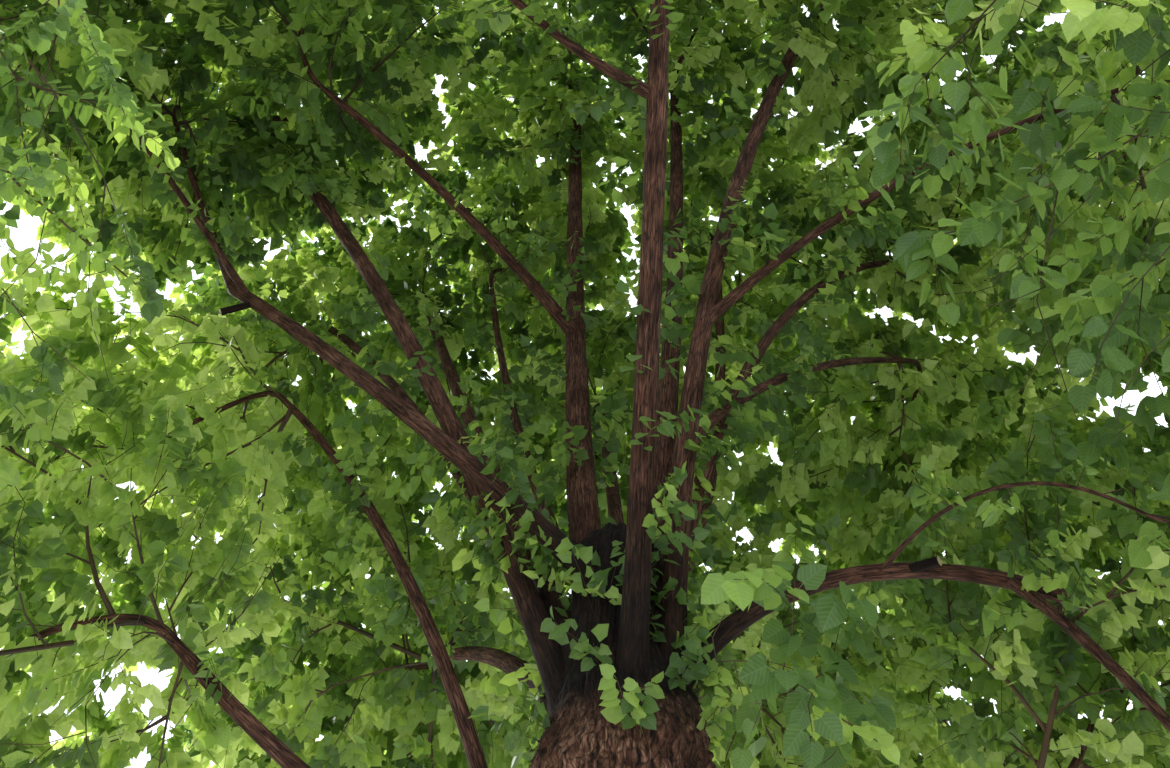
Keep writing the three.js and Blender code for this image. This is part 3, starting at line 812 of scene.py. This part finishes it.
# %% [markdown]
# A linden leaf is a heart about as wide as it is long, with a drawn-out tip, folded a little along its
# midrib. Leaves stand in turn on the left and the right of a twig, in one flat layer, each on a thin stalk,
# and their blades hang over. The farthest leaves are kites folded along the midrib, those half way have a
# few faces more, and those near the viewer a round, pleated outline that bends. All are drawn one unit long
# and scaled later.

# %% Leaf shapes
HALF_KITE = [(0.5, 0.3)]
HALF_FAR = [(0.42, -0.04), (0.44, 0.52)]
HALF_PLAIN = [(0.27, -0.09), (0.5, 0.22), (0.38, 0.64)]
HALF_FINE = [(0.11, -0.07), (0.28, -0.10), (0.43, 0.01), (0.50, 0.20), (0.48, 0.42), (0.38, 0.62),
             (0.22, 0.80), (0.08, 0.92)]
LEAF_TIP = 1.03
MIDRIB = [(0, 0), (0, 0.35), (0, 0.7), (0, LEAF_TIP)]
FOLD, CURL, BEND, PLEAT = 0.22, 0.3, 0.16, 0.022


def shaped(flat):
    """Folds a flat outline along its midrib and bends it down towards its rim and tip."""
    x, y = flat.T
    return np.stack([x, y, FOLD * np.abs(x) - CURL * x ** 2 - BEND * np.clip(y, 0, None) ** 2], axis=1)


def plain_leaf(half):
    """A leaf whose halves are fans from its notch."""
    right = np.array(half)
    points = np.vstack([[(0, 0)], right, [(0, LEAF_TIP)], (right * [-1, 1])[::-1]])
    faces = [(0, i, i + 1) for i in range(1, len(points) - 1)]
    return shaped(points), np.array(faces)


def fine_leaf():
    """A leaf with points along its midrib, from which each half's faces run out to its pleated rim."""
    right = np.array(HALF_FINE)
    points = np.vstack([MIDRIB, right, right * [-1, 1]])
    half = [(0, 4, 5), (0, 5, 6), (0, 6, 7), (0, 7, 1), (1, 7, 8), (1, 8, 9), (1, 9, 2), (2, 9, 10),
            (2, 10, 11), (2, 11, 3)]
    inner = len(MIDRIB)
    other = [tuple(corner + len(right) if corner >= inner else corner for corner in face)[::-1]
             for face in half]
    blade = shaped(points)
    blade[inner:, 2] += PLEAT * np.where(np.arange(len(blade) - inner) % 2, 1, -1)
    return blade, np.array(half + other)


def stamped(shape, root, along, side, size):
    """Copies one shape to many places at once: its x runs along side, its y along the blade."""
    points, faces = shape
    face_way = np.cross(side, along)
    placed = root[:, None] + size[:, None, None] * (
        points[None, :, :1] * side[:, None] + points[None, :, 1:2] * along[:, None]
        + points[None, :, 2:] * face_way[:, None])
    numbered = faces[None] + (np.arange(len(root)) * len(points))[:, None, None]
    return placed.reshape(-1, 3), numbered.reshape(-1, 3)


print("a leaf nearby has", len(fine_leaf()[1]), "faces and one far off", len(plain_leaf(HALF_KITE)[1]))

# %% [markdown]
# Where the leaves stand follows from the twigs. Each young twig bears them nearly from end to end, and an
# older one only on its outer half. Deep in the crown there is too little light, so many inner twigs are
# bare, and the boughs show against the lit leaves outside. The stalk leaves sideways and a little up, and
# the blade hangs from it. Leaves near the viewer have their real size, and those far off are larger,
# because each stands for more than one. A leaf that would leave the mass's space or touch a limb is left
# out.

# %% Leaf places
NEAR_SPACING, FAR_SPACING = 0.029, 0.0142
NEAR_LENGTH, FAR_LENGTH = 0.072, 0.126
NEAR_AWAY, FAR_AWAY = 2.5, 9.0
LENGTH_SPREAD = 0.28
FIRST_LEAF_SIZE = 0.8
CROWN_HEART = np.array([0.0, 0.0, 4.6])
INNER_LEAFY = 0.55
INNER_EDGE, OUTER_EDGE = -0.55, 0.25
ARCH_LONGER = 1.04
BARE_FROM = 5
OLD_TWIG_BARE, YOUNG_TWIG_BARE = 0.45, 0.12
STALK_SHARE = 0.42
STALK_FORWARD, STALK_ASIDE, LAST_STALK_ASIDE, STALK_LIFT, STALK_JITTER = 0.55, 0.9, 0.1, 0.12, 0.28
DROOP, DROOP_JITTER = (0.25, 1.5), 0.22
FACING_UP, FACING_OUT, FACING_ON, FACING_JITTER = 0.5, 0.9, 0.3, 0.3
LEAF_MARGIN = 0.03
TINT_NAMES = ("pale", "fresh", "bright", "clear", "middle", "full", "deep")
TINTS = len(TINT_NAMES)

# The size of a mass's leaves against that of others, how many more it bears where little sky shows through,
# and by how many tints they are paler. The tints are partly painted light and shade: leaves low in the lit
# side are painted paler and those in the shade deeper, on top of the real difference of sun and shade
# leaves.
LEAF_SCALE = dict(front_hanging_left=0.72, lowest_left=0.9, sprouts_right=1.15, old_wood=0.85)
SHARE_OF_LEAVES = dict(
    lowest_left=1.6, front_hanging_left=1.45, left_upper=1.4, right_front=1.2, right_arching=1.2,
    right_spreading=1.15, rear_slim=1.15, right_rear=1.15, right_rear_low=1.15, rear_left_low=1.1,
    rear_right_low=1.1)
PALER = dict(
    low_left=3.4, lowest_left=1.6, right_spreading=1.3, left_back=1.0, rear_right_low=1.0,
    right_rear_low=0.8, right_outer=0.8, right_rear=0.8, right_arching=0.8, rear_left_low=0.6,
    rear_inner=0.4, left_outer=-0.3, front=-0.6, front_high_right=-0.6, left_upper=-0.7, middle_left=-0.7,
    front_hanging_right=-0.8, front_side=-0.9, front_high_left=-1.0, old_wood=-1.6,
    front_hanging_left=-1.8, sprouts_right=-2.2)


def leaf_counts(mass, far, first):
    """How many leaves each twig of a mass bears, of which far and first are one value for each twig."""
    long = np.linalg.norm(mass["end"] - mass["start"], axis=1) * ARCH_LONGER
    spacing = lerp(NEAR_SPACING, FAR_SPACING, far) if mass["node"] else NEAR_SPACING
    counts = (1 - first) * long / spacing * SHARE_OF_LEAVES.get(mass["name"], 1)
    counts = np.maximum(2, counts).astype(int)
    if mass["node"]:
        outwards = (mass["end"] - mass["centre"]) @ unit(mass["centre"] - CROWN_HEART) / mass["reach"]
        lit = np.clip((outwards - INNER_EDGE) / (OUTER_EDGE - INNER_EDGE), 0, 1)
        counts = np.where(chance.uniform(0, 1, len(lit)) < lerp(INNER_LEAFY, 1, lit), counts, 0)
    return counts


def leaf_places(number, mass):
    """Nodes, roots, blade directions, sizes and tints of the leaves of one mass. Number is None for the
    shoots on old wood, which belong to no mass."""
    start, bow, end = mass["start"], mass["bow"], mass["end"]
    first = np.where(mass["carried"] >= BARE_FROM, OLD_TWIG_BARE, YOUNG_TWIG_BARE)
    far = np.clip((np.linalg.norm(end - np.array(eye), axis=1) - NEAR_AWAY) / (FAR_AWAY - NEAR_AWAY), 0, 1)
    counts = leaf_counts(mass, far, first)
    twig = np.repeat(np.arange(len(start)), counts)
    order = np.arange(len(twig)) - np.repeat(np.cumsum(counts) - counts, counts)
    share = (first[twig] + (1 - first[twig]) * (order + 1) / counts[twig])[:, None]
    node = along_arch(start[twig], bow[twig], end[twig], share)
    way = unit(lerp(bow[twig] - start[twig], end[twig] - bow[twig], share))
    aside = unit(np.cross(way, UP) + TINY) * np.where(order % 2, 1, -1)[:, None]
    last = (order == counts[twig] - 1)[:, None]
    jitter = chance.normal(0, STALK_JITTER, (len(twig), 3))
    sideways = np.where(last, LAST_STALK_ASIDE, STALK_ASIDE) * aside
    stalk = unit(way * STALK_FORWARD + sideways + [0, 0, STALK_LIFT] + jitter)
    size = lerp(NEAR_LENGTH, FAR_LENGTH, far[twig]) * np.where(order == 0, FIRST_LEAF_SIZE, 1)
    size = size * chance.uniform(1 - LENGTH_SPREAD, 1 + LENGTH_SPREAD, len(twig))
    size = size * LEAF_SCALE.get(mass["name"], 1)
    root = node + stalk * (size * STALK_SHARE)[:, None]
    droop = chance.uniform(*DROOP, (len(twig), 1))
    along = unit(stalk - droop * UP + chance.normal(0, DROOP_JITTER, (len(twig), 3)))
    outward = unit(node - CROWN_HEART)
    skyward = unit(FACING_UP * UP + FACING_OUT * outward + FACING_ON * stalk
                   + chance.normal(0, FACING_JITTER, (len(twig), 3)))
    side = unit(np.cross(along, skyward))
    # Painted light and shade: a mass's tints are moved paler where the crown is lit and deeper where it
    # lies in shade.
    tint = (twig * SEED_STEP + mass["seed"]) % 1 * TINTS - PALER.get(mass["name"], 0)
    tint = np.clip(tint, 0, TINTS - 1).astype(int)
    if number is None:
        return node, root, along, side, size, tint
    middle = root + along * size[:, None] / 2
    keep = in_space(number, middle, LEAF_MARGIN) & clear_of_limbs(middle, limbs_near(mass), LEAF_MARGIN)
    return [each[keep] for each in (node, root, along, side, size, tint)]


# %% [markdown]
# The leaves of one tint become one mesh, so that each mesh has one plain colour. A leaf takes the shape
# that suits its distance from the viewer, and one nearby also gets its stalk, a single thin triangle. Every
# point keeps its place on the flat leaf as an attribute, from which the veins are drawn later.

# %% Joined leaves
NEAR, HALF_WAY, FAR = 3.1, 4.9, 7.6
STALK_WIDTH = 0.0035
SHAPES_WITH_STALK = 2
LEAF_SHAPES = [fine_leaf(), plain_leaf(HALF_PLAIN), plain_leaf(HALF_FAR), plain_leaf(HALF_KITE)]
lots = [[] for _ in TINT_NAMES]
flat_places = [[] for _ in TINT_NAMES]
leaf_count = 0
for number, mass in list(enumerate(masses)) + [(None, old_wood)]:
    node, root, along, side, size, tint = leaf_places(number, mass)
    away = np.linalg.norm(root - np.array(eye), axis=1)
    level = np.digitize(away, (NEAR, HALF_WAY, FAR))
    leaf_count += len(root)
    for colour in range(TINTS):
        for detail, shape in enumerate(LEAF_SHAPES):
            pick = (level == detail) & (tint == colour)
            if not pick.any():
                continue
            lots[colour].append(stamped(shape, root[pick], along[pick], side[pick], size[pick]))
            flat_places[colour].append(np.tile(shape[0], (int(pick.sum()), 1)))
            if detail < SHAPES_WITH_STALK:
                rim = side[pick] * STALK_WIDTH / 2
                stalks = np.stack([node[pick], root[pick] - rim, root[pick] + rim], axis=1).reshape(-1, 3)
                lots[colour].append((stalks, np.arange(len(stalks)).reshape(-1, 3)))
                flat_places[colour].append(np.zeros(stalks.shape))
leaf_pieces = []
for name, lot, flat in zip(TINT_NAMES, lots, flat_places):
    piece = joined_mesh("leaves_" + name, *merged(lot), smooth=False)
    blade = piece.data.attributes.new("blade", "FLOAT_VECTOR", "POINT")
    blade.data.foreach_set("vector", np.vstack(flat).astype(np.float32).ravel())
    leaf_pieces.append(piece)
print(leaf_count, "leaves:", [len(piece.data.polygons) for piece in leaf_pieces], "triangles")

# %% [markdown]
# Each finish is a network of nodes. One helper adds a node, sets it and feeds its sockets, with values or
# with the outputs of other nodes.

# %% Adding a node
HALF_WAY_UP = 0.5
MULTIPLY = {"data_type": "RGBA", "blend_type": "MULTIPLY"}
LIGHTEN = {"data_type": "RGBA", "blend_type": "ADD"}


def add(tree, kind, settings=None, **inputs):
    """Adds a node. An input is named as its socket, with _ for a space, or i and its number."""
    made = tree.nodes.new("ShaderNode" + kind)
    for name, value in (settings or {}).items():
        if name == "stops":
            ramp = made.color_ramp
            while len(ramp.elements) < len(value):
                ramp.elements.new(HALF_WAY_UP)
            for element, (position, colour) in zip(ramp.elements, value):
                element.position, element.color = position, colour
        else:
            setattr(made, name, value)
    for name, value in inputs.items():
        numbered = name[0] == "i" and name[1:].isdigit()
        socket = made.inputs[int(name[1:])] if numbered else made.inputs[name.replace("_", " ")]
        if isinstance(value, bpy.types.NodeSocket):
            tree.links.new(value, socket)
        else:
            socket.default_value = value
    return made


def new_material(name):
    material = bpy.data.materials.new(name)
    material.use_nodes = True
    material.node_tree.nodes.clear()
    return material, material.node_tree


# %% [markdown]
# Linden bark is a dull cork-like skin, grey-brown where it has weathered and reddish where it is fresh, and
# nearly black in its furrows. It doesn't shine, so its roughness is high. The colours follow the place on
# the straightened limb, in streaks like the ridges, and a bump adds the cracks that are too fine for the
# mesh. Shade is painted into the bark of the neck above the head, which darkens there, and into the feet
# of the boughs that are seated in the trunk.

# %% Bark
EVEN_SHADE = ((0.0, "ffffff"), (1.0, "ffffff"))


def bark_material(name, ridge, red, furrow, spacing, length, reach=1.0, shades=EVEN_SHADE):
    """Spacing and length are those of the fine ridges, in metres. Shades hold the painted shade: how dark
    the bark is at two shares of a reach along the limb."""
    material, tree = new_material(name)
    place = add(tree, "Attribute", {"attribute_name": "straight"}).outputs["Vector"]
    drawn_out = add(tree, "Mapping", Vector=place, Scale=(1, 1, spacing / length)).outputs[0]
    streaks = add(tree, "TexNoise", Vector=drawn_out, Scale=1 / spacing, Detail=5, Roughness=0.62,
                  Distortion=0.6).outputs["Fac"]
    patches = add(tree, "TexNoise", Vector=place, Scale=4, Detail=2).outputs["Fac"]
    plates = add(tree, "TexVoronoi", {"feature": "DISTANCE_TO_EDGE"}, Vector=drawn_out,
                 Scale=0.9 / spacing).outputs["Distance"]
    tone = add(tree, "ValToRGB", {"stops": [(0.35, linear(furrow)), (0.5, linear(ridge)),
                                            (0.72, linear(red))]}, Fac=streaks).outputs["Color"]
    weathered = add(tree, "ValToRGB", {"stops": [(0.4, linear("ffffff")), (0.65, linear("b8aaa0"))]},
                    Fac=patches).outputs["Color"]
    cracks = add(tree, "ValToRGB", {"stops": [(0.0, linear("4a4a4a")), (0.12, linear("ffffff"))]},
                 Fac=plates).outputs["Color"]
    aged = add(tree, "Mix", MULTIPLY, i0=1.0, i6=tone, i7=weathered).outputs[2]
    cracked = add(tree, "Mix", MULTIPLY, i0=0.8, i6=aged, i7=cracks).outputs[2]
    along = add(tree, "SeparateXYZ", Vector=place).outputs["Z"]
    share = add(tree, "Math", {"operation": "DIVIDE"}, i0=along, i1=reach).outputs[0]
    shade = add(tree, "ValToRGB", {"stops": [(at, linear(grey)) for at, grey in shades]},
                Fac=share).outputs["Color"]
    shaded = add(tree, "Mix", MULTIPLY, i0=1.0, i6=cracked, i7=shade).outputs[2]
    height = add(tree, "Math", {"operation": "ADD"}, i0=streaks, i1=plates).outputs[0]
    bump = add(tree, "Bump", Strength=0.9, Distance=spacing * 0.3, Height=height).outputs[0]
    skin = add(tree, "BsdfPrincipled", Base_Color=shaded, Roughness=0.88, Specular_IOR_Level=0.25,
               Normal=bump)
    add(tree, "OutputMaterial", Surface=skin.outputs[0])
    return material


# Painted shade over the neck: the trunk's bark darkens from the first height to the second and stays dark
# above.
NECK_SHADE_FROM, NECK_SHADE_FULL = 2.9, 3.2
OLD_BARK = ("603f30", "a88470", "100906")
BOUGH_BARK = ("593a2f", "8d6453", "1a100d")
neck_shares = [np.interp(height, levels, skin_way) / skin_way[-1] for height in (NECK_SHADE_FROM, NECK_SHADE_FULL)]
furrowed_bark = bark_material("furrowed_linden_bark", *OLD_BARK, spacing=0.022, length=0.07,
                              reach=skin_way[-1], shades=list(zip(neck_shares, ("ffffff", "505050"))))
# Painted shade at the feet of the boughs seated in the trunk, fading out over their first 1.3 m.
ridged_bark = bark_material("ridged_linden_bark", *BOUGH_BARK, spacing=0.013, length=0.16,
                            reach=1.4, shades=[(0.25, "6a6a6a"), (0.9, "ffffff")])
young_bark = bark_material("young_linden_bark", *BOUGH_BARK, spacing=0.011, length=0.13)
print("the trunk's bark darkens between", NECK_SHADE_FROM, "m and", NECK_SHADE_FULL, "m up")

# %% [markdown]
# Twigs have a smooth, thin, reddish-brown skin with a faint shine, greener where it is young. Each is only
# a few pixels wide, so slow noise between the two colours is all that shows. A sawn end is pale wood with
# its rings.

# %% Twig skin and sawn wood
twig_skin, tree = new_material("smooth_linden_twig")
place = add(tree, "TexCoord").outputs["Object"]
drift = add(tree, "TexNoise", Vector=place, Scale=3, Detail=3).outputs["Fac"]
tone = add(tree, "ValToRGB", {"stops": [(0.35, linear("33241c")), (0.7, linear("5b4129"))]},
           Fac=drift).outputs[0]
skin = add(tree, "BsdfPrincipled", Base_Color=tone, Roughness=0.6)
add(tree, "OutputMaterial", Surface=skin.outputs[0])

sawn_wood, tree = new_material("sawn_linden_wood")
place = add(tree, "Attribute", {"attribute_name": "straight"}).outputs["Vector"]
rings = add(tree, "TexWave", {"wave_type": "RINGS", "rings_direction": "Z"}, Vector=place, Scale=60,
            Distortion=3).outputs["Fac"]
tone = add(tree, "ValToRGB", {"stops": [(0.2, linear("9c8266")), (0.8, linear("c4ab8a"))]},
           Fac=rings).outputs[0]
skin = add(tree, "BsdfPrincipled", Base_Color=tone, Roughness=0.8)
add(tree, "OutputMaterial", Surface=skin.outputs[0])
print("made", twig_skin.name, "and", sawn_wood.name)

# %% [markdown]
# A leaf is a thin sheet of green cells under a waxy skin. Light from above shines through it and comes out
# more yellow, which is why a crown glows from below. So a soft reflecting surface is mixed with a
# translucent one. The tints differ from spray to spray, as shoots of different ages do, and from mass to
# mass by painted light and shade, paler where the crown is lit. Each point carries its place on the flat
# blade as an attribute, and the midrib and the side veins are drawn from that, a little paler than the
# blade between.

# %% Leaves
LEAF_TINTS = [("bcd080", "dff084"), ("a2bc66", "cce268"), ("8caa56", "bcd658"), ("7a994c", "a8c850"),
              ("6a8944", "98b84a"), ("59783c", "84a440"), ("486731", "6e9038")]
CELLS_DARKER = 0.82
VEIN_SPACING, VEIN_RISE, VEIN_PALER = 0.17, 0.75, "4b4b4b"
VEIN_CORE, VEIN_EDGE = 0.008, 0.03


def leaf_material(name, face, glow):
    material, tree = new_material(name)
    place = add(tree, "TexCoord").outputs["Object"]
    cells = add(tree, "TexNoise", Vector=place, Scale=45, Detail=0).outputs["Fac"]
    darker = [CELLS_DARKER * channel for channel in linear(face)[:3]] + [1.0]
    tone = add(tree, "ValToRGB", {"stops": [(0.3, darker), (0.7, linear(face))]}, Fac=cells).outputs[0]
    blade = add(tree, "Attribute", {"attribute_name": "blade"}).outputs["Vector"]
    x, y, _ = add(tree, "SeparateXYZ", Vector=blade).outputs
    aside = add(tree, "Math", {"operation": "ABSOLUTE"}, i0=x).outputs[0]
    slant = add(tree, "Math", {"operation": "MULTIPLY_ADD"}, i0=aside, i1=-VEIN_RISE, i2=y).outputs[0]
    beside = add(tree, "Math", {"operation": "PINGPONG"}, i0=slant, i1=VEIN_SPACING / 2).outputs[0]
    nearest = add(tree, "Math", {"operation": "MINIMUM"}, i0=beside, i1=aside).outputs[0]
    vein = add(tree, "ValToRGB", {"stops": [(VEIN_CORE, linear(VEIN_PALER)),
                                            (VEIN_EDGE, linear("000000"))]}, Fac=nearest).outputs[0]
    tone = add(tree, "Mix", LIGHTEN, i0=1.0, i6=tone, i7=vein).outputs[2]
    skin = add(tree, "BsdfPrincipled", Base_Color=tone, Roughness=0.46)
    through = add(tree, "BsdfTranslucent", Color=linear(glow))
    both = add(tree, "MixShader", i0=0.5, i1=skin.outputs[0], i2=through.outputs[0])
    add(tree, "OutputMaterial", Surface=both.outputs[0])
    return material


leaf_skins = [leaf_material(f"linden_leaf_tint_{i + 1}", *tints) for i, tints in enumerate(LEAF_TINTS)]
print(len(leaf_skins), "leaf tints")

# %% [markdown]
# Now every piece gets its finish and rides on the tree's one body, and the imported nodes it stands for
# are hidden.

# %% Finishes and the tree's body
AT_THE_END = 1e-3


def fit_out(piece, finish, slot, *nodes):
    piece.data.materials.append(finish)
    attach(piece, "root")
    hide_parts(*nodes)


mass_nodes = [mass["node"] for mass in masses]
fit_out(trunk_bark, furrowed_bark, "trunk_bark", "trunk")
# Boughs seated in the trunk get the bark with painted shade at their feet, and those on other limbs the
# young bark without it.
for name, piece in boughs.items():
    fit_out(piece, ridged_bark if "seat" in by_name[name] else young_bark, "bough_bark", "bough_" + name)
    if sawn_faces[name]:
        piece.data.materials.append(sawn_wood)
        for face in piece.data.polygons:
            at_an_end = any((face.center - end).length < AT_THE_END for end in sawn_faces[name])
            if len(face.vertices) > 4 and at_an_end:
                face.material_index = 1
for piece in twig_pieces:
    fit_out(piece, twig_skin, "bough_bark", *mass_nodes)
for piece, finish in zip(leaf_pieces, leaf_skins):
    fit_out(piece, finish, "leaves", *mass_nodes)
print(1 + len(boughs) + len(twig_pieces) + len(leaf_pieces), "pieces on the tree")

# %% [markdown]
# The tree stands on a plain pale floor. A pale sky lights it softly from all sides, and one broad lamp from
# the upper left, behind the tree, shines through the leaves towards the viewer.

# %% Floor and light
FLOOR_HALF = 150
SKY_COLOUR, SKY_STRENGTH = "eff7ff", 2.15
LAMP_STRENGTH, LAMP_WIDTH = 7.0, 12
LAMP_SIDE = (-0.7, 0.6, 0.5)
sheet = bmesh.new()
bmesh.ops.create_grid(sheet, x_segments=1, y_segments=1, size=FLOOR_HALF)
floor = finished_mesh("pale_floor", sheet)
paint, tree = new_material("pale_floor_paint")
skin = add(tree, "BsdfPrincipled", Base_Color=linear("c9c7c2"), Roughness=0.9)
add(tree, "OutputMaterial", Surface=skin.outputs[0])
floor.data.materials.append(paint)

world = bpy.data.worlds.new("pale_sky")
world.use_nodes = True
sky = world.node_tree.nodes["Background"]
sky.inputs["Color"].default_value = linear(SKY_COLOUR)
sky.inputs["Strength"].default_value = SKY_STRENGTH
bpy.context.scene.world = world

lamp_data = bpy.data.lights.new("broad_lamp", "SUN")
lamp_data.energy = LAMP_STRENGTH
lamp_data.angle = math.radians(LAMP_WIDTH)
lamp = bpy.data.objects.new("broad_lamp", lamp_data)
lamp.rotation_euler = Vector(LAMP_SIDE).to_track_quat("Z", "Y").to_euler()
bpy.context.scene.collection.objects.link(lamp)
bpy.context.scene.view_settings.view_transform = "Standard"
print("a sky of strength", SKY_STRENGTH, "and a lamp of strength", LAMP_STRENGTH)
